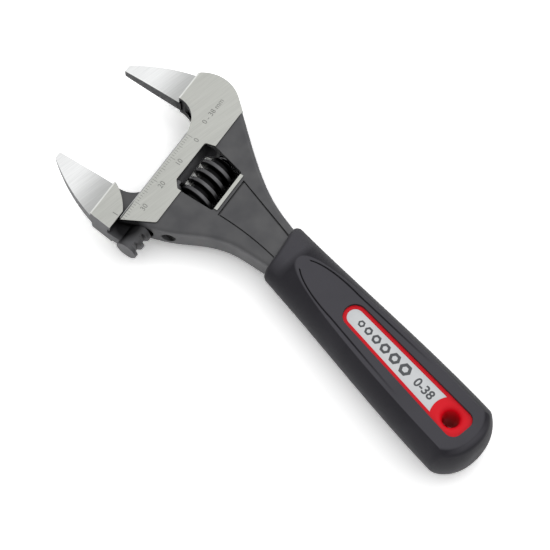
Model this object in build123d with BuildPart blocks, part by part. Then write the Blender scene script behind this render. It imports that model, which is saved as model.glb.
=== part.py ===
from build123d import *
import math
import os

# Slim jaw adjustable wrench with a moulded handle, in millimetres.
# The origin is the middle of the hanging hole, halfway through the thickness.
# +X runs along the handle to the jaws, +Y towards the sliding jaw, +Z up.
# In the head, reach counts from the throat to the jaw tips and gap counts from
# the fixed jaw's face towards the sliding jaw.

# Head and jaws
JAW_ANGLE = 15.0
THROAT_X = 135.6
THROAT_Y = -11.45
OPENING = 37.2
TIP_REACH = 31.8
TIP_WIDTH = 2.5
TIP_THICKNESS = 3.4
STEP_REACH = 9.6
ROOT_THICKNESS = 5.2
BLADE_BULGE = 1.2
HEAD_CREST = 12.0
PLATE_THICKNESS = 10.5
PLATE_BACK = -11.1
PLATE_HEEL = 41.6
PLATE_CORNER = 1.2
BODY_THICKNESS = 9.5
EDGE_RADIUS = 1.4
THROAT_START = 7.6
THROAT_END = 47.7
THROAT_BEVEL = 0.7
CORNER_RELIEF = 0.5

# Neck and tang
HEEL_X = 110.5
HEEL_Y = 26.0
FLARE_X = 99.4
FLARE_Y = 16.4
SWEEP_X = 106.0
SWEEP_Y = -12.35
SHOULDER_X = 132.0
SHOULDER_Y = -24.75
MOUTH_X = 88.0
MOUTH_LEFT = 10.7
MOUTH_RIGHT = -7.5
NECK_END = 72.0
NECK_LEFT = 6.6
NECK_RIGHT = -5.9
TANG_END = 15.0
TANG_WIDTH = 10.0
TANG_THICKNESS = 6.0
PANEL_DEPTH = 0.35
PANEL_REACH = -25.9
PANEL_RIGHT_GAP = 12.6
PANEL_LEFT_GAP = 27.9
PANEL_WAIST_X = 91.0
PANEL_WAIST_Y = 6.15
PANEL_REAR_LEFT = 5.0
PANEL_REAR_RIGHT = -3.6
GROOVE_WIDTH = 0.6
GROOVE_DEPTH = 1.0

# Slide bar, worm and pin
BAR_REACH = -7.2
BAR_RADIUS = 3.8
BAR_START = 23.5
BAR_END = 53.8
SLIDE_CLEARANCE = 0.2
WEB_THICKNESS = 4.2
WEB_RISE = 3.4
PAD_GAP = 0.4
PAD_ROOT = 13.8
SLOT_CLEARANCE = 0.6
PITCH = 3.8
THREAD_PHASE = 2.2
WORM_REACH = -16.0
WORM_RADIUS = 6.75
WORM_ROOT = 4.6
WORM_START = 11.0
WORM_END = 27.3
CREST_WIDTH = 1.2
WORM_CHAMFER = 0.8
FLANK_ANGLE = 15.0
RACK_TIP = -10.9
RACK_ROOT = -8.8
MESH_CLEARANCE = 0.22
WINDOW_CLEARANCE = 0.3
WINDOW_CORNER = 1.0
LEDGE_WIDTH = 1.2
PIN_RADIUS = 1.75
PIN_HEAD_RADIUS = 2.2
PIN_FIT = 0.05
PIN_START = 3.0
PIN_HEAD_START = 35.0
PIN_END = 41.2
PIN_SLOT = 0.8
SPRING_MEAN_RADIUS = 2.5
SPRING_WIRE = 0.6
SPRING_TURNS = 6
SPRING_CLEARANCE = 0.15
SPRING_SEAT = 7.3
SPRING_DEPTH = 4.5

# Handle
HOLE_RADIUS = 2.8
HOLE_MOUTH = 2.1
GRIP_THICKNESS = 20.0
GRIP_SHIFT = 0.45
GRIP_END = -12.7
GRIP_CORNER = 12.5
GRIP_END_MARGIN = 1.4
GRIP_END_FULLNESS = 1.2
GRIP_END_RADIUS = 3.0
GRIP_FRONT = 81.8
GRIP_SLANT = 18.0
COLLAR_DOME = 3.0
GRIP_REAR_WIDTH = 26.4
GRIP_REAR_HEIGHT = 28.6
GRIP_PALM_X = 15.0
GRIP_PALM_WIDTH = 26.2
GRIP_PALM_HEIGHT = 28.0
GRIP_WAIST_X = 50.0
GRIP_WAIST_WIDTH = 22.6
GRIP_WAIST_HEIGHT = 26.0
GRIP_TIP_X = 72.0
GRIP_TIP_WIDTH = 20.8
GRIP_TIP_HEIGHT = 20.1
GRIP_NOSE_WIDTH = 20.8
GRIP_NOSE_HEIGHT = 10.6
GRIP_LIP_RADIUS = 2.2
CREASE_WIDTH = 0.6
CREASE_DEPTH = 0.7
CREASE_INSET = 0.9
CREASE_GAP = 4.4
CORE_END = -9.0
CORE_REAR_WIDTH = 18.0
CORE_FRONT_WIDTH = 14.0
CORE_THICKNESS = 13.0
CORE_CORNER = 6.0
PAD_END = -6.2
PAD_REAR_WIDTH = 10.4
PAD_CORNER = 3.2
PAD_FRONT_X = 45.2
PAD_FRONT_RADIUS = 4.1
PAD_SINK = 1.1
LABEL_INSET = 1.3
LABEL_THICKNESS = 0.4
LABEL_SINK = 0.1
LABEL_ARC = 7.0
MOULD_GAP = 0.05

jaw_turn = math.radians(JAW_ANGLE)
reach_dir = Vector(math.cos(jaw_turn), math.sin(jaw_turn), 0)
slide_dir = Vector(-math.sin(jaw_turn), math.cos(jaw_turn), 0)
head_plane = Plane(origin=(THROAT_X, THROAT_Y, 0), x_dir=reach_dir, z_dir=(0, 0, 1))
half_body = BODY_THICKNESS / 2
half_plate = PLATE_THICKNESS / 2
half_grip = GRIP_THICKNESS / 2
rim_z = half_grip - PAD_SINK
flank = math.tan(math.radians(FLANK_ANGLE))


def head_point(reach, gap):
    return head_plane.from_local_coords(Vector(reach, gap, 0))


def slide_plane(reach, gap):
    return Plane(origin=head_point(reach, gap), x_dir=reach_dir, z_dir=slide_dir)


def thin_jaw(face_plane, root_width):
    # Blade with its face on the plane's X axis and hollow ground sides
    root = STEP_REACH - 1
    with BuildPart() as blade:
        with BuildSketch(face_plane):
            with BuildLine():
                Polyline((root, root_width), (root, 0), (TIP_REACH, 0), (TIP_REACH, TIP_WIDTH))
                SagittaArc((TIP_REACH, TIP_WIDTH), (root, root_width), -BLADE_BULGE)
            make_face()
        extrude(amount=ROOT_THICKNESS / 2, both=True)
        side = Plane(origin=face_plane.origin, x_dir=face_plane.x_dir, z_dir=face_plane.y_dir)
        with BuildSketch(side):
            with BuildLine():
                Line((root, -ROOT_THICKNESS / 2), (root, ROOT_THICKNESS / 2))
                SagittaArc((root, ROOT_THICKNESS / 2), (TIP_REACH, TIP_THICKNESS / 2), 0.25)
                Line((TIP_REACH, TIP_THICKNESS / 2), (TIP_REACH, -TIP_THICKNESS / 2))
                SagittaArc((TIP_REACH, -TIP_THICKNESS / 2), (root, -ROOT_THICKNESS / 2), 0.25)
            make_face()
        extrude(amount=root_width + 5, both=True, mode=Mode.INTERSECT)
    return blade.part


# Outline of the forging, from the fixed jaw's step round the throat and neck
with BuildSketch() as forging:
    with BuildLine():
        Polyline(
            head_point(STEP_REACH, -HEAD_CREST),
            head_point(STEP_REACH, -CORNER_RELIEF),
            head_point(STEP_REACH - 1.2, -CORNER_RELIEF),
        )
        ThreePointArc(
            head_point(STEP_REACH - 1.2, -CORNER_RELIEF),
            head_point(3.6, 1.3),
            head_point(1.2, 4.2),
        )
        Polyline(
            head_point(1.2, 4.2),
            head_point(0, THROAT_START),
            head_point(0, THROAT_END),
            (HEEL_X, HEEL_Y),
        )
        heel_dir = Vector(HEEL_X, HEEL_Y, 0) - head_point(0, THROAT_END)
        Spline(
            (HEEL_X, HEEL_Y),
            (FLARE_X, FLARE_Y),
            (MOUTH_X, MOUTH_LEFT),
            tangents=[heel_dir, (NECK_END - MOUTH_X, NECK_LEFT - MOUTH_LEFT)],
        )
        Polyline(
            (MOUTH_X, MOUTH_LEFT),
            (NECK_END, NECK_LEFT),
            (NECK_END, NECK_RIGHT),
            (MOUTH_X, MOUTH_RIGHT),
        )
        Spline(
            (MOUTH_X, MOUTH_RIGHT),
            (SWEEP_X, SWEEP_Y),
            (SHOULDER_X, SHOULDER_Y),
            tangents=[(MOUTH_X - NECK_END, MOUTH_RIGHT - NECK_RIGHT), (0.9, -0.43)],
        )
        TangentArc(
            (SHOULDER_X, SHOULDER_Y),
            head_point(STEP_REACH, -HEAD_CREST),
            tangent=(0.9, -0.43),
        )
    make_face()


def panel_outline(inset):
    # Panel on the neck, with its front edge beside the worm window
    front_left = head_point(PANEL_REACH - inset, PANEL_LEFT_GAP - inset)
    front_right = head_point(PANEL_REACH - inset, PANEL_RIGHT_GAP + inset)
    rear_left = Vector(NECK_END + 2, PANEL_REAR_LEFT - inset, 0)
    rear_right = Vector(NECK_END + 2, PANEL_REAR_RIGHT + inset, 0)
    with BuildSketch() as outline:
        with BuildLine():
            Spline(front_left, (PANEL_WAIST_X, PANEL_WAIST_Y - inset), rear_left)
            Polyline(rear_left, rear_right, front_right, front_left)
        make_face()
    return outline.sketch


def neck_panels(inset):
    # Blocks that sink a panel with a groove round it into both faces of the neck
    with BuildPart() as blocks:
        for side in (1, -1):
            with BuildSketch(Plane.XY.offset(side * (half_body - GROOVE_DEPTH))):
                add(panel_outline(inset))
                add(panel_outline(GROOVE_WIDTH - inset), mode=Mode.SUBTRACT)
            extrude(amount=side * (GROOVE_DEPTH + 1))
            with BuildSketch(Plane.XY.offset(side * (half_body - PANEL_DEPTH))):
                add(panel_outline(inset))
            extrude(amount=side * (PANEL_DEPTH + 1))
    return blocks.part


# Ground plate round the throat, proud of the forging
with BuildPart() as plate:
    extrude(forging.sketch, amount=half_plate, both=True)
    with BuildSketch(head_plane) as plate_cut:
        with BuildLine():
            Polyline(
                (PLATE_BACK, -30),
                (20, -30),
                (20, THROAT_END),
                (0, THROAT_END),
                (PLATE_BACK, PLATE_HEEL),
                close=True,
            )
        make_face()
        fillet(plate_cut.vertices().sort_by_distance((PLATE_BACK, PLATE_HEEL))[0], PLATE_CORNER)
    extrude(amount=PLATE_THICKNESS, both=True, mode=Mode.INTERSECT)
    throat_edges = plate.edges().filter_by(Axis(head_plane.origin, slide_dir))
    throat_edges = [e for e in throat_edges if abs(head_plane.to_local_coords(e.center()).X) < 0.1]
    chamfer(throat_edges, THROAT_BEVEL)

# Forged body with its fixed jaw
with BuildPart() as body:
    extrude(forging.sketch, amount=half_body, both=True)
    fillet(body.edges().filter_by(GeomType.BSPLINE), EDGE_RADIUS)
    add(neck_panels(0), mode=Mode.SUBTRACT)
    add(plate.part)
    fixed_plane = Plane(origin=head_plane.origin, x_dir=reach_dir, z_dir=(0, 0, -1))
    add(thin_jaw(fixed_plane, HEAD_CREST))
    with BuildSketch():
        with Locations(((TANG_END + NECK_END + 2) / 2, 0)):
            Rectangle(NECK_END + 2 - TANG_END, TANG_WIDTH)
    extrude(amount=TANG_THICKNESS / 2, both=True)
    # Ground ledge beside the worm window
    window_edge = WORM_REACH - WORM_RADIUS - 1.05
    with BuildSketch(head_plane):
        with Locations((window_edge, (WORM_START + WORM_END) / 2)):
            Rectangle(2 * LEDGE_WIDTH, WORM_END - WORM_START - 1)
    extrude(amount=half_plate, both=True)
    # Worm window
    with BuildSketch(head_plane) as window:
        with BuildLine():
            Polyline(
                (-7.5, 8.6),
                (-11.3, 7.6),
                (window_edge, WORM_START - WINDOW_CLEARANCE),
                (window_edge, WORM_END + WINDOW_CLEARANCE),
                (-9.6, WORM_END + WINDOW_CLEARANCE),
                (-7.4, WORM_END - 2.3),
                close=True,
            )
        make_face()
        fillet(window.vertices(), WINDOW_CORNER)
    extrude(amount=PLATE_THICKNESS, both=True, mode=Mode.SUBTRACT)
    # Slide bore and the slot for the jaw's web
    with BuildSketch(slide_plane(BAR_REACH, -30)):
        Circle(BAR_RADIUS + SLIDE_CLEARANCE)
    extrude(amount=100, mode=Mode.SUBTRACT)
    with BuildSketch(head_plane):
        with BuildLine():
            Polyline(
                (8.4, -0.2),
                (8.4, THROAT_END + 20),
                (BAR_REACH, THROAT_END + 20),
                (BAR_REACH, -WEB_RISE - SLOT_CLEARANCE),
                (0.5, -WEB_RISE - SLOT_CLEARANCE),
            )
            ThreePointArc(
                (0.5, -WEB_RISE - SLOT_CLEARANCE),
                (3.9, -0.8 - SLOT_CLEARANCE),
                (8.4, -0.2),
            )
        make_face()
    extrude(amount=WEB_THICKNESS / 2 + SLIDE_CLEARANCE, both=True, mode=Mode.SUBTRACT)
    # Pin hole with a seat for the spring
    with BuildSketch(slide_plane(WORM_REACH, PIN_START - 0.2)):
        Circle(PIN_RADIUS + PIN_FIT)
    extrude(amount=80, mode=Mode.SUBTRACT)
    with BuildSketch(slide_plane(WORM_REACH, PIN_HEAD_START)):
        Circle(PIN_HEAD_RADIUS + PIN_FIT)
    extrude(amount=40, mode=Mode.SUBTRACT)
    with BuildSketch(slide_plane(WORM_REACH, SPRING_SEAT)):
        Circle(SPRING_MEAN_RADIUS + SPRING_WIRE)
    extrude(amount=WORM_START - SPRING_SEAT, mode=Mode.SUBTRACT)
body.part.label = "body"

# Movable jaw with its slide bar and rack
jaw_plane = Plane(origin=head_point(0, OPENING), x_dir=reach_dir, z_dir=(0, 0, 1))
with BuildPart() as movable_jaw:
    with BuildSketch(jaw_plane):
        with BuildLine():
            Polyline(
                (STEP_REACH - 1.2, 0),
                (STEP_REACH - 0.6, 0),
                (STEP_REACH - 0.6, PAD_ROOT),
                (PAD_GAP, PAD_ROOT + 0.9),
                (PAD_GAP, 7.3),
            )
            ThreePointArc((PAD_GAP, 7.3), (4.6, 2.5), (STEP_REACH - 1.2, 0))
        make_face()
    extrude(amount=half_plate, both=True)
    add(thin_jaw(jaw_plane, PAD_ROOT))
    # Web that runs in the head's slot
    web_end = BAR_END - 1.2 - OPENING
    with BuildSketch(jaw_plane):
        with BuildLine():
            Polyline(
                (8.0, 0),
                (8.0, 8.0),
                (1.0, web_end),
                (BAR_REACH, web_end),
                (BAR_REACH, -WEB_RISE),
                (PAD_GAP, -WEB_RISE),
            )
            ThreePointArc((PAD_GAP, -WEB_RISE), (3.5, -0.8), (8.0, 0))
        make_face()
    extrude(amount=WEB_THICKNESS / 2, both=True)
    with BuildSketch(slide_plane(BAR_REACH, BAR_START)):
        Circle(BAR_RADIUS)
    extrude(amount=BAR_END - BAR_START)
    bar_ends = movable_jaw.edges().filter_by(GeomType.CIRCLE).sort_by(Axis(head_plane.origin, slide_dir))
    chamfer(bar_ends[0], 0.8)
    # Rack gaps follow the lean of the worm's thread
    lean = Vector(0, 0, 1) + slide_dir * (PITCH / (2 * math.pi * (WORM_RADIUS - 0.6)))
    tip_gap = WORM_REACH + WORM_RADIUS
    gap_count = int((BAR_END - BAR_START) / PITCH) + 3
    first_gap = math.floor((BAR_START - WORM_START - THREAD_PHASE) / PITCH)
    for index in range(gap_count):
        place = WORM_START + THREAD_PHASE + (first_gap + index) * PITCH
        wide = CREST_WIDTH / 2 + MESH_CLEARANCE + (tip_gap - (RACK_TIP - 1)) * flank
        narrow = CREST_WIDTH / 2 + MESH_CLEARANCE - (RACK_ROOT - tip_gap) * flank
        start = -5 * (lean - Vector(0, 0, 1)) - Vector(0, 0, 5)
        gap_origin = head_point(0, place) + start
        with BuildSketch(Plane(origin=gap_origin, x_dir=reach_dir, z_dir=(0, 0, 1))):
            with BuildLine():
                Polyline(
                    (RACK_TIP - 1, -wide),
                    (RACK_ROOT, -narrow),
                    (RACK_ROOT, narrow),
                    (RACK_TIP - 1, wide),
                    close=True,
                )
            make_face()
        extrude(amount=10 * lean.length, dir=lean, mode=Mode.SUBTRACT)
movable_jaw.part.label = "movable_jaw"

# Worm, left handed, upright with its spring pocket at the foot
worm_length = WORM_END - WORM_START
worm_depth = WORM_RADIUS - WORM_ROOT
with BuildPart() as worm_upright:
    with BuildLine() as thread_path:
        foot = (0, 0, THREAD_PHASE - 2 * PITCH)
        Helix(PITCH, worm_length + 3 * PITCH, WORM_ROOT, center=foot, lefthand=True)
    tooth_half = CREST_WIDTH / 2
    tooth_foot = tooth_half + (worm_depth + 0.4) * flank
    with BuildSketch(Plane(origin=thread_path.line @ 0, x_dir=(1, 0, 0), z_dir=(0, -1, 0))):
        with BuildLine():
            Polyline(
                (-0.4, -tooth_foot),
                (worm_depth, -tooth_half),
                (worm_depth, tooth_half),
                (-0.4, tooth_foot),
                close=True,
            )
        make_face()
    sweep(path=thread_path.line, is_frenet=True)
    with BuildSketch(Plane.XZ):
        with BuildLine():
            Polyline(
                (0, 0),
                (WORM_RADIUS - WORM_CHAMFER, 0),
                (WORM_RADIUS + 0.1, WORM_CHAMFER),
                (WORM_RADIUS + 0.1, worm_length - WORM_CHAMFER),
                (WORM_RADIUS - WORM_CHAMFER, worm_length),
                (0, worm_length),
                close=True,
            )
        make_face()
    revolve(axis=Axis.Z, mode=Mode.INTERSECT)
    with BuildSketch():
        Circle(WORM_ROOT)
    extrude(amount=worm_length)
    with BuildSketch():
        Circle(PIN_RADIUS + PIN_FIT)
    extrude(amount=worm_length, mode=Mode.SUBTRACT)
    with BuildSketch():
        Circle(SPRING_MEAN_RADIUS + SPRING_WIRE)
    extrude(amount=SPRING_DEPTH, mode=Mode.SUBTRACT)
with BuildPart(slide_plane(WORM_REACH, WORM_START)) as worm:
    add(worm_upright.part)
worm.part.label = "worm"

# Pin that the worm turns on, slotted at its outer end
with BuildPart() as worm_pin:
    with BuildSketch(slide_plane(WORM_REACH, PIN_START)):
        Circle(PIN_RADIUS)
    extrude(amount=PIN_HEAD_START - PIN_START + 0.5)
    with BuildSketch(slide_plane(WORM_REACH, PIN_HEAD_START + 0.2)):
        Circle(PIN_HEAD_RADIUS)
    extrude(amount=PIN_END - PIN_HEAD_START - 0.2)
    with BuildSketch(slide_plane(WORM_REACH, PIN_END - 1)):
        Rectangle(6, PIN_SLOT)
    extrude(amount=2, mode=Mode.SUBTRACT)
worm_pin.part.label = "worm_pin"


def spring_path(plane, radius, rise, turns):
    # Quarter turns of a coil, each joined by two tangent arcs
    points = []
    directions = []
    for step in range(4 * turns + 1):
        turn = step * math.pi / 2
        lead = rise / (2 * math.pi * turns)
        spot = Vector(radius * math.cos(turn), radius * math.sin(turn), lead * turn)
        way = Vector(-radius * math.sin(turn), radius * math.cos(turn), lead).normalized()
        points.append(plane.from_local_coords(spot))
        directions.append(plane.from_local_coords(way) - plane.origin)
    with BuildLine() as coil:
        for step in range(4 * turns):
            p, q = points[step], points[step + 1]
            t, s = directions[step], directions[step + 1]
            span = q - p
            bend = 2 * (1 - t.dot(s))
            along = span.dot(t + s)
            arm = (math.sqrt(along * along + bend * 2 * span.dot(span) / 2) - along) / bend
            middle = (p + q + (t - s) * arm) * 0.5
            TangentArc(p, middle, tangent=t)
            TangentArc(q, middle, tangent=-s)
    return coil


spring_foot = SPRING_SEAT + SPRING_CLEARANCE + SPRING_WIRE / 2
spring_rise = WORM_START + SPRING_DEPTH - SPRING_CLEARANCE - SPRING_WIRE / 2 - spring_foot
coil = spring_path(slide_plane(WORM_REACH, spring_foot), SPRING_MEAN_RADIUS, spring_rise, SPRING_TURNS)
with BuildPart() as worm_spring:
    with BuildSketch(Plane(origin=coil.line @ 0, z_dir=coil.line % 0)):
        Circle(SPRING_WIRE / 2)
    sweep(path=coil.line)
worm_spring.part.label = "worm_spring"
print("spring gap", round(spring_rise / SPRING_TURNS - SPRING_WIRE, 3))


def core_block(gap):
    with BuildPart() as block:
        with BuildSketch():
            with BuildLine():
                Polyline(
                    (CORE_END - gap, -CORE_REAR_WIDTH / 2 - gap),
                    (NECK_END - MOULD_GAP, -CORE_FRONT_WIDTH / 2 - gap),
                    (NECK_END - MOULD_GAP, CORE_FRONT_WIDTH / 2 + gap),
                    (CORE_END - gap, CORE_REAR_WIDTH / 2 + gap),
                    close=True,
                )
            make_face()
        extrude(amount=CORE_THICKNESS / 2 + gap, both=True)
        corners = block.edges().filter_by(Axis.Z).group_by(Axis.X)[0]
        fillet(corners, CORE_CORNER + gap)
    return block.part


def pad_outline(gap):
    with BuildSketch() as outline:
        with Locations((PAD_FRONT_X, 0)):
            Circle(PAD_FRONT_RADIUS + gap)
        corner_y = PAD_REAR_WIDTH / 2 - PAD_CORNER
        with Locations((PAD_END + PAD_CORNER, corner_y), (PAD_END + PAD_CORNER, -corner_y)):
            Circle(PAD_CORNER + gap)
        make_hull()
    return outline.sketch


def label_outline(gap):
    with BuildSketch() as outline:
        add(pad_outline(gap - LABEL_INSET))
        Circle(LABEL_ARC - gap, mode=Mode.SUBTRACT)
        with Locations((PAD_END - 20 + 4, 0)):
            Rectangle(40, 40, mode=Mode.SUBTRACT)
    return outline.sketch


# Hard core of the handle
label_floor = rim_z - LABEL_SINK - LABEL_THICKNESS
with BuildPart() as grip_core:
    add(core_block(0))
    extrude(pad_outline(0), amount=rim_z, both=True)
    for side in (1, -1):
        with BuildSketch(Plane.XY.offset(side * label_floor)):
            add(label_outline(MOULD_GAP))
        extrude(amount=side * 2, mode=Mode.SUBTRACT)
    with BuildSketch():
        with Locations(((TANG_END + NECK_END) / 2, 0)):
            Rectangle(NECK_END - TANG_END + 2 * MOULD_GAP, TANG_WIDTH + 2 * MOULD_GAP)
    extrude(amount=TANG_THICKNESS / 2 + MOULD_GAP, both=True, mode=Mode.SUBTRACT)
    with BuildSketch():
        Circle(HOLE_RADIUS)
    extrude(amount=half_grip, both=True, mode=Mode.SUBTRACT)
    # Both mouths of the hanging hole are rounded like a bell
    round_edges = grip_core.edges().filter_by(GeomType.CIRCLE)
    mouth_edges = [e for e in round_edges if abs(e.radius - HOLE_RADIUS) < 0.01]
    fillet(mouth_edges, HOLE_MOUTH)
grip_core.part.label = "grip_core"

# Straight part of the neck as the sleeve is moulded round it
with BuildPart() as neck_mould:
    with BuildSketch():
        with BuildLine():
            Polyline(
                (MOUTH_X, MOUTH_LEFT + MOULD_GAP),
                (NECK_END - MOULD_GAP, NECK_LEFT + MOULD_GAP),
                (NECK_END - MOULD_GAP, NECK_RIGHT - MOULD_GAP),
                (MOUTH_X, MOUTH_RIGHT - MOULD_GAP),
                close=True,
            )
        make_face()
    extrude(amount=half_body + MOULD_GAP, both=True)
    long_edges = neck_mould.edges().filter_by(Axis.Z, reverse=True).filter_by(Axis.Y, reverse=True)
    fillet(long_edges, EDGE_RADIUS)
    add(neck_panels(MOULD_GAP), mode=Mode.SUBTRACT)

# Rear end of the sleeve, domed in plan and steeper in height
end_half = (GRIP_REAR_WIDTH + GRIP_PALM_WIDTH) / 4 + GRIP_END_MARGIN
end_ratio = (GRIP_REAR_HEIGHT + GRIP_PALM_HEIGHT) / (GRIP_REAR_WIDTH + GRIP_PALM_WIDTH)
with BuildPart() as rear_end:
    with BuildSketch(Plane(origin=(0, GRIP_SHIFT, 0))):
        with BuildLine():
            Line((GRIP_END, 0), (GRIP_END, end_half - GRIP_CORNER))
            RadiusArc(
                (GRIP_END, end_half - GRIP_CORNER),
                (GRIP_END + GRIP_CORNER, end_half),
                GRIP_CORNER,
            )
            Polyline(
                (GRIP_END + GRIP_CORNER, end_half),
                (GRIP_FRONT + 20, end_half),
                (GRIP_FRONT + 20, 0),
                (GRIP_END, 0),
            )
        make_face()
    revolve(axis=Axis((0, GRIP_SHIFT, 0), (1, 0, 0)))
    scale(by=(1, 1, GRIP_END_FULLNESS * end_ratio))


def flat_half(width, height):
    # Half width of the flat that cuts an oval section
    return width / 2 * math.sqrt(1 - (GRIP_THICKNESS / height) ** 2)


def crease_outline(inset):
    # Tongue along the edge of the flat, counted from the palm and round at the front
    palm = flat_half(GRIP_PALM_WIDTH, GRIP_PALM_HEIGHT) - inset
    waist = flat_half(GRIP_WAIST_WIDTH, GRIP_WAIST_HEIGHT) - inset
    waist_x = GRIP_WAIST_X - GRIP_PALM_X
    nose_x = GRIP_TIP_X - GRIP_PALM_X - inset
    with BuildSketch() as outline:
        with BuildLine():
            Polyline((waist_x, -waist), (0, -palm), (0, palm), (waist_x, waist))
            EllipticalCenterArc((waist_x, 0), nose_x - waist_x, waist, -90, arc_size=180)
        make_face()
    return outline.sketch


# Soft sleeve over the core
with BuildPart() as grip_sleeve:
    stations = (
        (GRIP_END - 4, GRIP_REAR_WIDTH, GRIP_REAR_HEIGHT),
        (GRIP_PALM_X, GRIP_PALM_WIDTH, GRIP_PALM_HEIGHT),
        (GRIP_WAIST_X, GRIP_WAIST_WIDTH, GRIP_WAIST_HEIGHT),
        (GRIP_TIP_X, GRIP_TIP_WIDTH, GRIP_TIP_HEIGHT),
        (GRIP_FRONT + 9, GRIP_NOSE_WIDTH, GRIP_NOSE_HEIGHT),
    )
    for place, width, height in stations:
        with BuildSketch(Plane.YZ.offset(place)):
            with Locations((GRIP_SHIFT, 0)):
                Ellipse(width / 2, height / 2)
    loft()
    # Flat faces, and a slanted and slightly domed collar
    slant = math.radians(GRIP_SLANT)
    collar_dir = Vector(math.cos(slant), math.sin(slant), 0)
    collar_side = Vector(-math.sin(slant), math.cos(slant), 0)
    with BuildSketch(Plane(origin=(GRIP_FRONT, 0, 0), x_dir=collar_dir, z_dir=collar_side)):
        with BuildLine():
            Polyline(
                (-COLLAR_DOME, half_grip),
                (GRIP_END - GRIP_FRONT - 20, half_grip),
                (GRIP_END - GRIP_FRONT - 20, -half_grip),
                (-COLLAR_DOME, -half_grip),
            )
            ThreePointArc((-COLLAR_DOME, -half_grip), (0, 0), (-COLLAR_DOME, half_grip))
        make_face()
    extrude(amount=2 * GRIP_REAR_WIDTH, both=True, mode=Mode.INTERSECT)
    # Rear end, rounded where it meets the sides and the flats
    add(rear_end.part, mode=Mode.INTERSECT)
    rear_edges = grip_sleeve.edges().filter_by_position(Axis.X, GRIP_END, GRIP_END + GRIP_CORNER)
    rear_edges = [
        e for e in rear_edges if math.hypot(e.center().Y - GRIP_SHIFT, e.center().Z) > half_grip - 0.1
    ]
    fillet(rear_edges, GRIP_END_RADIUS)
    lip_edges = grip_sleeve.edges().filter_by_position(Axis.X, GRIP_TIP_X + 4, GRIP_FRONT + 9)
    fillet(lip_edges, GRIP_LIP_RADIUS)
    # Crease along the edges of both flats, deepest at the front and open at the tip
    fall = CREASE_DEPTH / (GRIP_TIP_X - GRIP_PALM_X)
    for side in (1, -1):
        crease_floor = Plane(
            origin=(GRIP_PALM_X, GRIP_SHIFT, side * half_grip),
            x_dir=(1, 0, -side * fall),
            z_dir=(fall, 0, side),
        )
        with BuildSketch(crease_floor):
            add(crease_outline(CREASE_INSET))
            add(crease_outline(CREASE_INSET + CREASE_WIDTH), mode=Mode.SUBTRACT)
            with Locations((GRIP_TIP_X - GRIP_PALM_X, 0)):
                Rectangle(10, CREASE_GAP, mode=Mode.SUBTRACT)
        extrude(amount=2 * CREASE_DEPTH, mode=Mode.SUBTRACT)
    add(core_block(MOULD_GAP), mode=Mode.SUBTRACT)
    add(neck_mould.part, mode=Mode.SUBTRACT)
    extrude(pad_outline(2 * MOULD_GAP), amount=GRIP_THICKNESS, both=True, mode=Mode.SUBTRACT)
    with BuildSketch():
        with Locations((NECK_END, 0)):
            Rectangle(4, TANG_WIDTH + 2 * MOULD_GAP)
    extrude(amount=TANG_THICKNESS / 2 + MOULD_GAP, both=True, mode=Mode.SUBTRACT)
grip_sleeve.part.label = "grip_sleeve"

# Labels, one on each face
with BuildPart() as label_front:
    with BuildSketch(Plane.XY.offset(label_floor)):
        add(label_outline(0))
    extrude(amount=LABEL_THICKNESS)
label_front.part.label = "label_front"

with BuildPart() as label_back:
    with BuildSketch(Plane.XY.offset(-label_floor)):
        add(label_outline(0))
    extrude(amount=-LABEL_THICKNESS)
label_back.part.label = "label_back"

os.makedirs("parts", exist_ok=True)
export_step(body.part, "parts/body.step")
export_step(movable_jaw.part, "parts/movable_jaw.step")
export_step(worm.part, "parts/worm.step")
export_step(worm_pin.part, "parts/worm_pin.step")
export_step(worm_spring.part, "parts/worm_spring.step")
export_step(grip_core.part, "parts/grip_core.step")
export_step(grip_sleeve.part, "parts/grip_sleeve.step")
export_step(label_front.part, "parts/label_front.step")
export_step(label_back.part, "parts/label_back.step")
pieces = (body, movable_jaw, worm, worm_pin, worm_spring, grip_core, grip_sleeve, label_front, label_back)
for piece in pieces:
    print(piece.part.label, round(piece.part.volume, 1), len(piece.part.solids()), piece.part.is_valid)
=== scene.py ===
# %% [markdown]
# This lesson dresses an adjustable wrench. The solids come packed from the CAD
# model and stay where they are: here they get their finishes, their scale marks
# and prints, a studio floor and light, and the camera of the photograph.

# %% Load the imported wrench
import math
import bpy
from mathutils import Matrix, Vector


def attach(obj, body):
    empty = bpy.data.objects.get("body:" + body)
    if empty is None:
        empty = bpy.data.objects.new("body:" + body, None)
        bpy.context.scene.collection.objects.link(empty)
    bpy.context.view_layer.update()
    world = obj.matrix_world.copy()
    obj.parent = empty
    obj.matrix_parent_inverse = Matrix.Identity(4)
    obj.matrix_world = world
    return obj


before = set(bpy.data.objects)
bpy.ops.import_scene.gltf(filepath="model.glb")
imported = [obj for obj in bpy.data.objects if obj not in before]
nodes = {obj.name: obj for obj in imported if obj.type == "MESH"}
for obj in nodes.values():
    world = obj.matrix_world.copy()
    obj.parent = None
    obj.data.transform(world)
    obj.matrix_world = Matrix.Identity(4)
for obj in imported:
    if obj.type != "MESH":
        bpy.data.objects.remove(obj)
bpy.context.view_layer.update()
print("loaded", sorted(nodes))

# %% [markdown]
# The photograph looks down on the tool from behind the handle with a long lens.
# A camera needs a place, a point to look at and a focal length. The film is kept
# at Blender's usual 36 mm, so the focal length alone sets how large the tool is.

# %% Camera
MM = 0.001
CAMERA_PLACE = Vector((-154.7, 206.55, 685.2)) * MM
CAMERA_TARGET = Vector((76.2, 7.25, 0)) * MM
CAMERA_LENS = 150.2
NEAREST_SEEN = 0.05
FARTHEST_SEEN = 20

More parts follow.
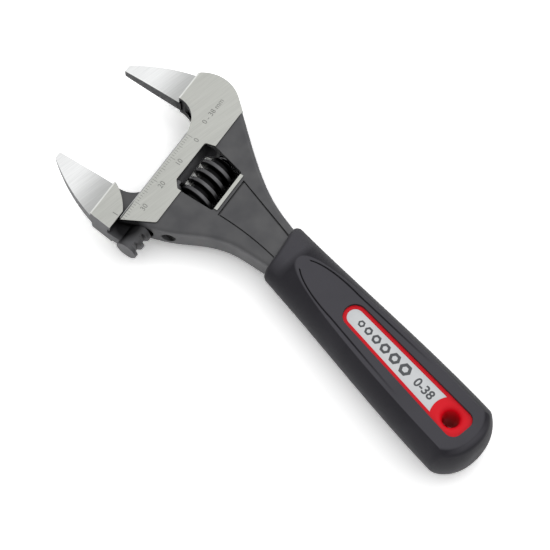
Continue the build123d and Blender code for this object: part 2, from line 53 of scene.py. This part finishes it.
bpy.ops.object.select_all(action="DESELECT")
bpy.ops.object.camera_add(location=CAMERA_PLACE)
camera = bpy.context.object
camera.name = "photo_camera"
camera.rotation_euler = (CAMERA_TARGET - CAMERA_PLACE).to_track_quat("-Z", "Y").to_euler()
camera.data.lens = CAMERA_LENS
camera.data.clip_start = NEAREST_SEEN
camera.data.clip_end = FARTHEST_SEEN
bpy.context.scene.camera = camera
bpy.context.scene.view_settings.view_transform = "Standard"
print("camera at", [round(v, 3) for v in CAMERA_PLACE])

# %% [markdown]
# Every finish below is a small tree of shader nodes. One helper adds a node, sets
# its options and fills its inputs, either with a value or with a link from another
# node. Colours are written as on a colour card and turned to linear light here.

# %% Colour card and node helper
def card(code):
    steps = [int(code[i:i + 2], 16) / 255 for i in (1, 3, 5)]
    linear = [s / 12.92 if s <= 0.04045 else ((s + 0.055) / 1.055) ** 2.4 for s in steps]
    return (*linear, 1)


def add_node(tree, kind, inputs=None, **settings):
    node = tree.nodes.new(kind)
    for name, value in settings.items():
        setattr(node, name, value)
    for key, value in (inputs or {}).items():
        if isinstance(value, bpy.types.NodeSocket):
            tree.links.new(value, node.inputs[key])
        else:
            node.inputs[key].default_value = value
    return node


def new_finish(name):
    finish = bpy.data.materials.new(name)
    finish.use_nodes = True
    finish.node_tree.nodes.clear()
    tree = finish.node_tree
    coords = add_node(tree, "ShaderNodeTexCoord")
    return finish, tree, coords


def close_finish(tree, shader):
    add_node(tree, "ShaderNodeOutputMaterial", {"Surface": shader.outputs[0]})


# %% [markdown]
# The head sits at fifteen degrees to the handle. Marks and masks on it are easier
# to place along the jaws than along the handle, so this cell keeps the directions
# of the head: reach runs out to the jaw tips and gap runs across the opening.

# %% Directions of the head
JAW_TURN = math.radians(15)
REACH = Vector((math.cos(JAW_TURN), math.sin(JAW_TURN), 0))
GAP = Vector((-math.sin(JAW_TURN), math.cos(JAW_TURN), 0))
THROAT = Vector((135.6, -11.45, 0)) * MM
PLATE_TOP = 5.25
STEP_REACH = 9.6
# Reach from which the painted highlight on the slim jaws is brightest
BLADE_LIGHT_REACH = 23.0


def head_spot(reach, gap, height):
    return THROAT + REACH * (reach * MM) + GAP * (gap * MM) + Vector((0, 0, height * MM))


print("throat at", [round(v, 4) for v in THROAT])

# %% [markdown]
# The forging and the sliding jaw are taken to be chrome vanadium steel, each with two
# finishes. Most of the steel is dark phosphate, a dull grey coat of fine crystals. The
# plate round the throat and the slim jaws were ground afterwards, which leaves bright
# metal with fine straight lines. A mask from the height above the middle plane and from
# the reach tells them apart. One function makes the finish for both pieces, because the
# painted highlight on the edge of the plate lies at another reach on each. Painted shade
# and painted highlights are mixed into the colours as well.

# %% Forged steel, phosphated and ground
PLATE_START = 4.9
RIM_START = 4.4
RIM_REACH = -1.1
EDGE_BLUR = 0.1
BLADE_REACH = 9.2
BLADE_BLUR = 0.3
GRIND_SPACING = 0.3
GRIND_LENGTH = 12
CRYSTAL_SIZE = 0.4
CLOUD_SIZE = 7
# Width and blur of the painted highlight along the edge of the plate
EDGE_HIGHLIGHT_WIDTH = 0.6
EDGE_HIGHLIGHT_BLUR = 0.2
JAW_EDGE_SETBACK = 0.6
# Painted shade on the gripping face of the fixed jaw
FACE_BAND = 0.4
FACE_REACH = 4
FACE_BLUR = 1
# Painted shade in the corner under the fixed jaw
CORNER_SPOT = head_spot(4.6, 2.4, 0)
CORNER_RADIUS = 6.0
CORNER_BLUR = 2.0
# Painted shade where the rack enters the head
RECESS_SHADE_SPOT = head_spot(-3.4, 46.5, 2.0)
RECESS_SHADE_RADIUS = 4.0
RECESS_SHADE_BLUR = 3.0


def forged_steel(name, plate_edge):
    finish, tree, coords = new_finish(name)
    place = coords.outputs["Object"]
    spot = add_node(tree, "ShaderNodeSeparateXYZ", {0: place})
    facing = add_node(tree, "ShaderNodeSeparateXYZ", {0: coords.outputs["Normal"]})
    height = add_node(tree, "ShaderNodeMath", {0: spot.outputs[2]}, operation="ABSOLUTE")
    level = add_node(tree, "ShaderNodeMath", {0: facing.outputs[2]}, operation="ABSOLUTE")
    plate = add_node(
        tree, "ShaderNodeMapRange",
        {0: height.outputs[0], 1: PLATE_START * MM, 2: (PLATE_START + EDGE_BLUR) * MM},
    )
    reach = add_node(tree, "ShaderNodeVectorMath", {0: place, 1: REACH}, operation="DOT_PRODUCT")
    start = THROAT.dot(REACH)
    # The bevel along the throat and the slim jaws lie lower than the plate
    rim = add_node(
        tree, "ShaderNodeMapRange",
        {0: height.outputs[0], 1: RIM_START * MM, 2: (RIM_START + EDGE_BLUR) * MM},
    )
    throat = add_node(
        tree, "ShaderNodeMapRange",
        {0: reach.outputs["Value"], 1: start + RIM_REACH * MM,
         2: start + (RIM_REACH + EDGE_BLUR) * MM, 4: rim.outputs[0]},
    )
    blade = add_node(
        tree, "ShaderNodeMapRange",
        {0: reach.outputs["Value"], 1: start + BLADE_REACH * MM,
         2: start + (BLADE_REACH + BLADE_BLUR) * MM},
    )
    lower = add_node(
        tree, "ShaderNodeMath", {0: throat.outputs[0], 1: blade.outputs[0]}, operation="MAXIMUM",
    )
    flat = add_node(tree, "ShaderNodeMapRange", {0: level.outputs[0], 1: 0.2, 2: 0.5})
    lower_face = add_node(
        tree, "ShaderNodeMath", {0: lower.outputs[0], 1: flat.outputs[0]}, operation="MULTIPLY",
    )
    ground = add_node(
        tree, "ShaderNodeMath", {0: plate.outputs[0], 1: lower_face.outputs[0]}, operation="MAXIMUM",
    )
    # Grinding lines lie across the jaws. Real ones are about 0.05 mm apart, too fine
    # to show here, so they are drawn 0.3 mm apart and 12 mm long.
    turned = add_node(
        tree, "ShaderNodeMapping",
        {"Vector": place, "Rotation": (0, 0, -JAW_TURN),
         "Scale": (1 / (GRIND_SPACING * MM), 1 / (GRIND_LENGTH * MM), 1 / (GRIND_LENGTH * MM))},
    )
    lines = add_node(
        tree, "ShaderNodeTexNoise", {"Vector": turned.outputs[0], "Scale": 1.0, "Detail": 2.0},
    )
    # Phosphate crystals are about 0.1 mm, drawn at 0.4 mm, in cloudy patches of 7 mm
    crystals = add_node(
        tree, "ShaderNodeTexNoise", {"Vector": place, "Scale": 1 / (CRYSTAL_SIZE * MM), "Detail": 3.0},
    )
    clouds = add_node(
        tree, "ShaderNodeTexNoise", {"Vector": place, "Scale": 1 / (CLOUD_SIZE * MM), "Detail": 2.0},
    )
    # The slim jaws get painted shade next to the step and a painted highlight that grows brighter
    # towards the tips
    blade_light = add_node(
        tree, "ShaderNodeMapRange",
        {0: reach.outputs["Value"], 1: start + STEP_REACH * MM, 2: start + BLADE_LIGHT_REACH * MM},
        interpolation_type="SMOOTHSTEP",
    )
    blade_shading = add_node(
        tree, "ShaderNodeMix", {0: blade_light.outputs[0], 6: card("#b9bab9"), 7: card("#f6f7f7")},
        data_type="RGBA",
    )
    # A painted highlight makes the edge of the plate above the jaws a bright line
    step = add_node(
        tree, "ShaderNodeMapRange",
        {0: reach.outputs["Value"], 1: start + (plate_edge - EDGE_HIGHLIGHT_WIDTH) * MM,
         2: start + (plate_edge - EDGE_HIGHLIGHT_WIDTH + EDGE_HIGHLIGHT_BLUR) * MM},
    )
    face = add_node(
        tree, "ShaderNodeMix", {0: step.outputs[0], 6: card("#bcbdb8"), 7: card("#dedfdc")},
        data_type="RGBA",
    )
    bright = add_node(
        tree, "ShaderNodeMix", {0: plate.outputs[0], 6: blade_shading.outputs[2], 7: face.outputs[2]},
        data_type="RGBA",
    )
    streak = add_node(
        tree, "ShaderNodeMapRange", {0: lines.outputs[0], 1: 0.3, 2: 0.7, 3: 0.93, 4: 1.05},
    )
    # Grinding streaks vary the tone, and faces that tilt from flat, such as the bevels, are painted
    # darker as painted shade
    bevel = add_node(
        tree, "ShaderNodeMapRange",
        {0: level.outputs[0], 1: 0.85, 2: 0.97, 3: 0.7, 4: streak.outputs[0]},
    )
    metal = add_node(
        tree, "ShaderNodeMix", {0: 1.0, 6: bright.outputs[2], 7: bevel.outputs[0]},
        data_type="RGBA", blend_type="MULTIPLY",
    )
    cloud = add_node(tree, "ShaderNodeMapRange", {0: clouds.outputs[0], 1: 0.3, 2: 0.7})
    coat = add_node(
        tree, "ShaderNodeMix", {0: cloud.outputs[0], 6: card("#565658"), 7: card("#616162")},
        data_type="RGBA",
    )
    # The gripping face of the fixed jaw is painted darker than the rest of the coat, as painted shade
    gap = add_node(tree, "ShaderNodeVectorMath", {0: place, 1: GAP}, operation="DOT_PRODUCT")
    face_gap = add_node(
        tree, "ShaderNodeMath",
        {0: gap.outputs["Value"], 1: THROAT.dot(GAP), 2: FACE_BAND * MM}, operation="COMPARE",
    )
    outer = add_node(
        tree, "ShaderNodeMapRange",
        {0: reach.outputs["Value"], 1: start + FACE_REACH * MM,
         2: start + (FACE_REACH + FACE_BLUR) * MM, 4: face_gap.outputs[0]},
    )
    faced = add_node(
        tree, "ShaderNodeMix", {0: outer.outputs[0], 6: coat.outputs[2], 7: card("#3a3a3b")},
        data_type="RGBA",
    )
    # The corner under the fixed jaw is painted black, as painted shade in the undercut
    corner = add_node(
        tree, "ShaderNodeVectorMath", {0: place, 1: CORNER_SPOT}, operation="DISTANCE",
    )
    scale = add_node(
        tree, "ShaderNodeMapRange",
        {0: corner.outputs["Value"], 1: CORNER_RADIUS * MM,
         2: (CORNER_RADIUS + CORNER_BLUR) * MM, 3: 1.0, 4: 0.0},
    )
    # It is painted black too where the rack enters the head, as painted shade in the recess
    recess = add_node(
        tree, "ShaderNodeVectorMath", {0: place, 1: RECESS_SHADE_SPOT}, operation="DISTANCE",
    )
    recess_shade = add_node(
        tree, "ShaderNodeMapRange",
        {0: recess.outputs["Value"], 1: RECESS_SHADE_RADIUS * MM,
         2: (RECESS_SHADE_RADIUS + RECESS_SHADE_BLUR) * MM, 3: 0.9, 4: 0.0},
    )
    black = add_node(
        tree, "ShaderNodeMath", {0: scale.outputs[0], 1: recess_shade.outputs[0]}, operation="MAXIMUM",
    )
    dark = add_node(
        tree, "ShaderNodeMix", {0: black.outputs[0], 6: faced.outputs[2], 7: card("#0e0e0f")},
        data_type="RGBA",
    )
    colour = add_node(
        tree, "ShaderNodeMix", {0: ground.outputs[0], 6: dark.outputs[2], 7: metal.outputs[2]},
        data_type="RGBA",
    )
    rough = add_node(tree, "ShaderNodeMapRange", {0: ground.outputs[0], 3: 0.5, 4: 0.36})
    grain = add_node(
        tree, "ShaderNodeMix", {0: ground.outputs[0], 2: crystals.outputs[0], 3: lines.outputs[0]},
    )
    bump = add_node(
        tree, "ShaderNodeBump", {"Strength": 0.25, "Distance": 0.03 * MM, "Height": grain.outputs[0]},
    )
    shader = add_node(
        tree, "ShaderNodeBsdfPrincipled",
        {"Base Color": colour.outputs[2], "Metallic": 1.0, "Roughness": rough.outputs[0],
         "Normal": bump.outputs[0]},
    )
    close_finish(tree, shader)
    return finish


body_steel = forged_steel("phosphated_and_ground_steel", STEP_REACH)
jaw_steel = forged_steel("phosphated_and_ground_jaw_steel", STEP_REACH - JAW_EDGE_SETBACK)
print("finish", body_steel.name, len(body_steel.node_tree.nodes), "nodes")

# %% [markdown]
# The worm and its pin are turned from bar and blackened in hot oxide. That leaves a
# smooth, nearly black metal whose edges still catch the lamp. The spring behind the
# worm is plain drawn wire, lighter and shiny along its length.

# %% Blackened worm and drawn wire
WORM_AXIS_REACH = -16.0
WORM_RADIUS = 6.75
CREST_DEPTH = 0.7
CREST_MARGIN = 0.05
PATCH_SIZE = 6


def turned_metal(name, dark, light, rough, ring):
    finish, tree, coords = new_finish(name)
    place = coords.outputs["Object"]
    turned = add_node(
        tree, "ShaderNodeMapping",
        {"Vector": place, "Rotation": (0, 0, -JAW_TURN),
         "Scale": (1 / (PATCH_SIZE * MM), 1 / (ring * MM), 1 / (PATCH_SIZE * MM))},
    )
    rings = add_node(
        tree, "ShaderNodeTexNoise", {"Vector": turned.outputs[0], "Scale": 1.0, "Detail": 2.0},
    )
    # The crests of the thread look rubbed lighter: the distance from the axis finds them
    spot = add_node(tree, "ShaderNodeSeparateXYZ", {0: place})
    reach = add_node(tree, "ShaderNodeVectorMath", {0: place, 1: REACH}, operation="DOT_PRODUCT")
    across = add_node(
        tree, "ShaderNodeMath",
        {0: reach.outputs["Value"], 1: head_spot(WORM_AXIS_REACH, 0, 0).dot(REACH)},
        operation="SUBTRACT",
    )
    arm = add_node(tree, "ShaderNodeCombineXYZ", {0: across.outputs[0], 1: spot.outputs[2]})
    radius = add_node(tree, "ShaderNodeVectorMath", {0: arm.outputs[0]}, operation="LENGTH")
    crest = add_node(
        tree, "ShaderNodeMapRange",
        {0: radius.outputs["Value"], 1: (WORM_RADIUS - CREST_DEPTH) * MM,
         2: (WORM_RADIUS - CREST_MARGIN) * MM},
    )
    patchy = add_node(tree, "ShaderNodeMapRange", {0: rings.outputs[0], 1: 0.3, 2: 0.7, 3: 0.7, 4: 1.0})
    wear = add_node(
        tree, "ShaderNodeMath", {0: crest.outputs[0], 1: patchy.outputs[0]}, operation="MULTIPLY",
    )
    colour = add_node(
        tree, "ShaderNodeMix", {0: wear.outputs[0], 6: card(dark), 7: card(light)}, data_type="RGBA",
    )
    gloss = add_node(tree, "ShaderNodeMapRange", {0: rings.outputs[0], 3: rough - 0.06, 4: rough + 0.08})
    bump = add_node(
        tree, "ShaderNodeBump", {"Strength": 0.2, "Distance": 0.02 * MM, "Height": rings.outputs[0]},
    )
    shader = add_node(
        tree, "ShaderNodeBsdfPrincipled",
        {"Base Color": colour.outputs[2], "Metallic": 1.0, "Roughness": gloss.outputs[0],
         "Normal": bump.outputs[0]},
    )
    close_finish(tree, shader)
    return finish


black_oxide = turned_metal("black_oxide_steel", "#1b1b1c", "#656567", 0.38, 0.4)
drawn_wire = turned_metal("drawn_spring_wire", "#8d8d8e", "#a3a3a3", 0.3, 0.3)
print("finishes", black_oxide.name, drawn_wire.name)

# %% [markdown]
# The handle is moulded twice. The hard red core is polypropylene with a satin skin,
# seen only in the long window. Round it lies a soft black elastomer, which is dull
# and has a fine spark eroded grain that the mould left on it.

# %% Moulded plastics
GRIP_TOP = 10.0
GRIP_MIDDLE = 32.0
GRIP_REACH = 41.0
GRIP_BLUR = 1.5
# The painted light on the flat panels starts this far below their top
PANEL_DROP = 0.25
PANEL_MARGIN = 0.02
FLOW_SIZE = 14


def moulded(name, low, high, rough, grain, depth, specular, sheen):
    finish, tree, coords = new_finish(name)
    place = coords.outputs["Object"]
    pits = add_node(
        tree, "ShaderNodeTexNoise", {"Vector": place, "Scale": 1 / (grain * MM), "Detail": 3.0},
    )
    flow = add_node(
        tree, "ShaderNodeTexNoise", {"Vector": place, "Scale": 1 / (FLOW_SIZE * MM), "Detail": 2.0},
    )
    share = add_node(
        tree, "ShaderNodeMapRange", {0: flow.outputs[0], 1: 0.3, 2: 0.7, 3: -0.12, 4: 0.12},
    )
    spot = add_node(tree, "ShaderNodeSeparateXYZ", {0: place})
    height = add_node(tree, "ShaderNodeMath", {0: spot.outputs[2]}, operation="ABSOLUTE")
    # The flat panels are painted a little paler than the sides, as painted light on the tops
    panel = add_node(
        tree, "ShaderNodeMapRange",
        {0: height.outputs[0], 1: (GRIP_TOP - PANEL_DROP) * MM, 2: (GRIP_TOP - PANEL_MARGIN) * MM},
    )
    # Both ends round off below the panels, so there the upward slope sets the painted light instead of
    # the height
    facing = add_node(tree, "ShaderNodeSeparateXYZ", {0: coords.outputs["Normal"]})
    level = add_node(tree, "ShaderNodeMath", {0: facing.outputs[2]}, operation="ABSOLUTE")
    slope = add_node(tree, "ShaderNodeMapRange", {0: level.outputs[0], 1: 0.55, 2: 0.95})
    along = add_node(
        tree, "ShaderNodeMath", {0: spot.outputs[0], 1: GRIP_MIDDLE * MM}, operation="SUBTRACT",
    )
    far = add_node(tree, "ShaderNodeMath", {0: along.outputs[0]}, operation="ABSOLUTE")
    ends = add_node(
        tree, "ShaderNodeMapRange",
        {0: far.outputs[0], 1: (GRIP_REACH - GRIP_BLUR) * MM,
         2: (GRIP_REACH + GRIP_BLUR) * MM, 4: slope.outputs[0]},
    )
    painted_top_light = add_node(
        tree, "ShaderNodeMath", {0: panel.outputs[0], 1: ends.outputs[0]}, operation="MAXIMUM",
    )
    mix = add_node(tree, "ShaderNodeMath", {0: painted_top_light.outputs[0], 1: share.outputs[0]}, use_clamp=True)
    colour = add_node(
        tree, "ShaderNodeMix", {0: mix.outputs[0], 6: card(low), 7: card(high)}, data_type="RGBA",
    )
    gloss = add_node(tree, "ShaderNodeMapRange", {0: pits.outputs[0], 3: rough - 0.05, 4: rough + 0.07})
    bump = add_node(
        tree, "ShaderNodeBump", {"Strength": 0.5, "Distance": depth * MM, "Height": pits.outputs[0]},
    )
    shader = add_node(
        tree, "ShaderNodeBsdfPrincipled",
        {"Base Color": colour.outputs[2], "Roughness": gloss.outputs[0], "IOR": 1.5,
         "Specular IOR Level": specular, "Sheen Weight": sheen, "Sheen Roughness": 0.4,
         "Normal": bump.outputs[0]},
    )
    close_finish(tree, shader)
    return finish


# The grain is about 0.1 mm on the real mould and is drawn at 0.35 mm so that it shows.
# Seen at a slant the grain scatters light, which a little sheen gives along the outline.
soft_black = moulded("soft_black_elastomer", "#26252a", "#47464b", 0.68, 0.35, 0.06, 0.15, 0.12)
satin_red = moulded("satin_red_polypropylene", "#dd0d20", "#e4182a", 0.42, 0.5, 0.015, 0.2, 0.0)
print("finishes", soft_black.name, satin_red.name)

# %% [markdown]
# The label is a white polyester film under a clear gloss layer, let into the core.
# The inks are thin and dull: one for the film, and a grey burnt by a laser for the
# scale on the steel.

# %% Label film and inks
def thin_layer(name, low, high, rough, patch, metallic, coat):
    finish, tree, coords = new_finish(name)
    cloud = add_node(
        tree, "ShaderNodeTexNoise",
        {"Vector": coords.outputs["Object"], "Scale": 1 / (patch * MM), "Detail": 2.0},
    )
    share = add_node(tree, "ShaderNodeMapRange", {0: cloud.outputs[0], 1: 0.3, 2: 0.7})
    colour = add_node(
        tree, "ShaderNodeMix", {0: share.outputs[0], 6: card(low), 7: card(high)}, data_type="RGBA",
    )
    shader = add_node(
        tree, "ShaderNodeBsdfPrincipled",
        {"Base Color": colour.outputs[2], "Roughness": rough, "Metallic": metallic,
         "Coat Weight": coat, "Coat Roughness": 0.15},
    )
    close_finish(tree, shader)
    return finish


white_film = thin_layer("white_label_film", "#cccfd1", "#d3d5d7", 0.4, 5, 0.0, 0.3)
label_ink = thin_layer("grey_label_ink", "#3f4246", "#4a4d51", 0.5, 1.5, 0.0, 0.3)
laser_grey = thin_layer("laser_grey_mark", "#7a7b78", "#8a8b87", 0.5, 0.8, 0.6, 0.0)

FINISHES = {
    "body": body_steel,
    "movable_jaw": jaw_steel,
    "worm": black_oxide,
    "worm_pin": black_oxide,
    "worm_spring": drawn_wire,
    "grip_core": satin_red,
    "grip_sleeve": soft_black,
    "label_front": white_film,
    "label_back": white_film,
}
for node_name, finish in FINISHES.items():
    nodes[node_name].data.materials.clear()
    nodes[node_name].data.materials.append(finish)
print("dressed", len(FINISHES), "nodes")

# %% [markdown]
# The scale along the throat is taken to be marked by a laser: a line for each
# millimetre, longer at every five and ten, with plain numbers. The photograph is too
# blurred to count the lines or to read the numbers. A line is a thin bar that starts as
# a cube and gets its edges cut back, and each step of the scale makes one. The bars are
# joined, so that the whole scale is one piece that rides on the handle.

# %% Scale lines
SCALE_ZERO = 9.4
SCALE_STEPS = 38
LINE_INSET = 0.9
LINE_WIDTH = 0.16
TEN_LINE = 2.0
FIVE_LINE = 1.5
SHORT_LINE = 1.0
MARK_RISE = 0.02
MARK_BEVEL = 0.01


def mark_bar(spot, length, width):
    bpy.ops.object.select_all(action="DESELECT")
    bpy.ops.mesh.primitive_cube_add(size=1, location=spot, rotation=(0, 0, JAW_TURN))
    bar = bpy.context.object
    bar.scale = (length * MM, width * MM, 2 * MARK_RISE * MM)
    bpy.ops.object.transform_apply(location=True, rotation=True, scale=True)
    bpy.ops.object.mode_set(mode="EDIT")
    bpy.ops.mesh.select_all(action="SELECT")
    bpy.ops.mesh.bevel(offset=MARK_BEVEL * MM, segments=1)
    bpy.ops.object.mode_set(mode="OBJECT")
    return bar


def join_pieces(pieces, name):
    bpy.ops.object.select_all(action="DESELECT")
    for piece in pieces:
        piece.select_set(True)
    bpy.context.view_layer.objects.active = pieces[0]
    bpy.ops.object.join()
    joined = bpy.context.object
    joined.name = name
    return joined


bars = []
for step in range(SCALE_STEPS):
    length = TEN_LINE if step % 10 == 0 else FIVE_LINE if step % 5 == 0 else SHORT_LINE
    spot = head_spot(-LINE_INSET - length / 2, SCALE_ZERO + step, PLATE_TOP)
    bars.append(mark_bar(spot, length, LINE_WIDTH))
scale_lines = join_pieces(bars, "scale_lines")
scale_lines.data.materials.append(laser_grey)
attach(scale_lines, "handle")
print("scale lines", len(scale_lines.data.polygons), "faces")

# %% [markdown]
# Numbers start as text objects. Each is turned to a mesh while it still lies flat at
# the origin, then laid on the plate with its top towards the throat, and given a
# little thickness so that it is a real layer and not a paper thin sheet.

# %% Scale numbers
NUMBER_REACH = -4.6
NUMBER_SIZE = 2.6
STAMP_SPOT = head_spot(-3.0, -2.6, PLATE_TOP)
TEXT_TURN = Matrix((
    (-GAP.x, REACH.x, 0, 0),
    (-GAP.y, REACH.y, 0, 0),
    (0, 0, 1, 0),
    (0, 0, 0, 1),
))


def number_mark(words, spot, size, turn, name, bold=0):
    bpy.ops.object.select_all(action="DESELECT")
    bpy.ops.object.text_add()
    mark = bpy.context.object
    mark.data.body = words
    mark.data.align_x = "CENTER"
    mark.data.align_y = "CENTER"
    mark.data.size = size * MM
    mark.data.extrude = MARK_RISE * MM
    mark.data.offset = bold * MM
    mark.data.resolution_u = 4
    bpy.ops.object.convert(target="MESH")
    mark = bpy.context.object
    mark.name = name
    mark.matrix_world = Matrix.Translation(spot) @ turn
    bpy.ops.object.transform_apply(location=True, rotation=True, scale=True)
    return mark


numbers = []
for value in (0, 10, 20, 30):
    spot = head_spot(NUMBER_REACH, SCALE_ZERO + value, PLATE_TOP)
    numbers.append(number_mark(str(value), spot, NUMBER_SIZE, TEXT_TURN, "number"))
numbers.append(number_mark("0 - 38 mm", STAMP_SPOT, NUMBER_SIZE, TEXT_TURN, "number"))
scale_numbers = join_pieces(numbers, "scale_numbers")
scale_numbers.data.materials.clear()
scale_numbers.data.materials.append(laser_grey)
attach(scale_numbers, "handle")
print("scale numbers", len(scale_numbers.data.polygons), "faces")

# %% [markdown]
# The sliding jaw has one line of its own, which points at the scale. It is a bar like
# those of the scale, only wider, and it rides on the jaw, so it moves along the scale
# when the worm turns.

# %% Index line on the sliding jaw
JAW_OPENING = 37.2
INDEX_REACH = 1.9
INDEX_LENGTH = 2.0
INDEX_WIDTH = 0.3
index_spot = head_spot(INDEX_REACH, SCALE_ZERO + JAW_OPENING, PLATE_TOP)
index_line = mark_bar(index_spot, INDEX_LENGTH, INDEX_WIDTH)
index_line.name = "index_line"
index_line.data.materials.append(laser_grey)
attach(index_line, "jaw")
print("index line", index_line.name)

# %% [markdown]
# The film carries a plain print: nuts in rising sizes and the range of the jaws, which
# says what the tool does. A nut starts as a six sided circle, whose face is inset and
# removed to leave a ring, and the ring is extruded to a thin layer.

# %% Label print
LABEL_TOP = 8.8
PRINT_START = 43.5
NUT_SIZES = (1.3, 1.5, 1.7, 1.9, 2.1, 2.3)
NUT_SPACING = 0.55
NUT_WALL = 0.45
RANGE_PLACE = 12.7
RANGE_SIZE = 4.4
RANGE_BOLD = 0.1


def nut_ring(x, size, side):
    bpy.ops.object.select_all(action="DESELECT")
    bpy.ops.mesh.primitive_circle_add(
        vertices=6, radius=size * MM, fill_type="NGON",
        location=(x * MM, 0, side * LABEL_TOP * MM), rotation=(0, 0, math.radians(30)),
    )
    bpy.ops.object.mode_set(mode="EDIT")
    bpy.ops.mesh.select_all(action="SELECT")
    bpy.ops.mesh.inset(thickness=NUT_WALL * size * MM)
    bpy.ops.mesh.delete(type="FACE")
    bpy.ops.mesh.select_all(action="SELECT")
    rise = (0, 0, side * MARK_RISE * MM)
    bpy.ops.mesh.extrude_region_move(TRANSFORM_OT_translate={"value": rise})
    bpy.ops.mesh.select_all(action="SELECT")
    bpy.ops.mesh.normals_make_consistent(inside=False)
    bpy.ops.object.mode_set(mode="OBJECT")
    bpy.ops.object.transform_apply(location=True, rotation=True, scale=True)
    return bpy.context.object


def label_print(side, name):
    pieces = []
    x = PRINT_START
    for size in NUT_SIZES:
        pieces.append(nut_ring(x - size, size, side))
        x -= 2 * size + NUT_SPACING
    turn = Matrix.Rotation(math.radians(180), 4, "Z")
    if side < 0:
        turn = Matrix.Rotation(math.radians(180), 4, "X") @ turn
    spot = Vector((RANGE_PLACE, 0, side * LABEL_TOP)) * MM
    pieces.append(number_mark("0-38", spot, RANGE_SIZE, turn, "number", RANGE_BOLD))
    printed = join_pieces(pieces, name)
    printed.data.materials.clear()
    printed.data.materials.append(label_ink)
    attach(printed, "handle")
    return printed


for side, name in ((1, "label_print_front"), (-1, "label_print_back")):
    printed = label_print(side, name)
    print(name, len(printed.data.polygons), "faces")

# %% [markdown]
# The tool lies on a white floor. The photograph is exposed for the dark tool, so the
# camera and reflections see the floor's white paint brighter than the light that it
# gives back. The shadow under the tool is kept. The heavy head tips the tool forward
# over the front of the handle, so the floor leans towards the head instead.

# %% Floor
GRIP_FOOT = Vector((72.5, 0, -10.0)) * MM
FLOOR_LEAN = math.radians(1.8)
FLOOR_SIZE = 8
SEEN_WHITE = 1.6
floor_paint, floor_tree, _ = new_finish("white_studio_floor")
rays = add_node(floor_tree, "ShaderNodeLightPath")
mirrored = add_node(
    floor_tree, "ShaderNodeMath",
    {0: rays.outputs["Is Glossy Ray"], 1: rays.outputs["Is Transmission Ray"]}, operation="MAXIMUM",
)
seen = add_node(
    floor_tree, "ShaderNodeMath",
    {0: rays.outputs["Is Camera Ray"], 1: mirrored.outputs[0]}, operation="MAXIMUM",
)
paint = add_node(
    floor_tree, "ShaderNodeMix",
    {0: seen.outputs[0], 6: card("#f6f6f6"), 7: (SEEN_WHITE, SEEN_WHITE, SEEN_WHITE, 1)},
    data_type="RGBA",
)
floor_shader = add_node(
    floor_tree, "ShaderNodeBsdfDiffuse", {"Color": paint.outputs[2], "Roughness": 0.0},
)
close_finish(floor_tree, floor_shader)
bpy.ops.object.select_all(action="DESELECT")
bpy.ops.mesh.primitive_plane_add(size=FLOOR_SIZE, location=GRIP_FOOT, rotation=(0, -FLOOR_LEAN, 0))
floor = bpy.context.object
floor.name = "studio_floor"
floor.data.materials.append(floor_paint)
print("floor leans", round(math.degrees(FLOOR_LEAN), 2), "degrees")

# %% [markdown]
# Light comes from a soft sky that is brightest overhead, and from one large lamp on the
# far side of the handle. A square lamp as wide as a studio's soft box gives shadows with
# a soft edge. The camera sees the sky plain white.

# %% Sky and lamp
HORIZON_TONE = 0.55
LAMP_PLACE = Vector((0.1, -0.8, 0.8))
LAMP_TARGET = Vector((0.08, 0, 0))
LAMP_WIDTH = 1.0
LAMP_POWER = 2.2
world = bpy.data.worlds.new("soft_sky")
bpy.context.scene.world = world
world.use_nodes = True
sky = world.node_tree
sky.nodes.clear()
way = add_node(sky, "ShaderNodeTexCoord")
rise = add_node(sky, "ShaderNodeSeparateXYZ", {0: way.outputs["Generated"]})
tone = add_node(
    sky, "ShaderNodeMapRange", {0: rise.outputs[2], 1: 0.0, 2: 1.0, 3: HORIZON_TONE, 4: 1.0},
)
eye = add_node(sky, "ShaderNodeLightPath")
level = add_node(
    sky, "ShaderNodeMath", {0: tone.outputs[0], 1: eye.outputs["Is Camera Ray"]}, operation="MAXIMUM",
)
air = add_node(sky, "ShaderNodeBackground", {"Color": (1, 1, 1, 1), "Strength": level.outputs[0]})
add_node(sky, "ShaderNodeOutputWorld", {"Surface": air.outputs[0]})

bpy.ops.object.select_all(action="DESELECT")
bpy.ops.object.light_add(type="AREA", location=LAMP_PLACE)
lamp = bpy.context.object
lamp.name = "soft_box"
lamp.data.shape = "SQUARE"
lamp.data.size = LAMP_WIDTH
lamp.data.energy = LAMP_POWER
lamp.rotation_euler = (LAMP_TARGET - LAMP_PLACE).to_track_quat("-Z", "Y").to_euler()
print("lamp", lamp.data.energy, "W")
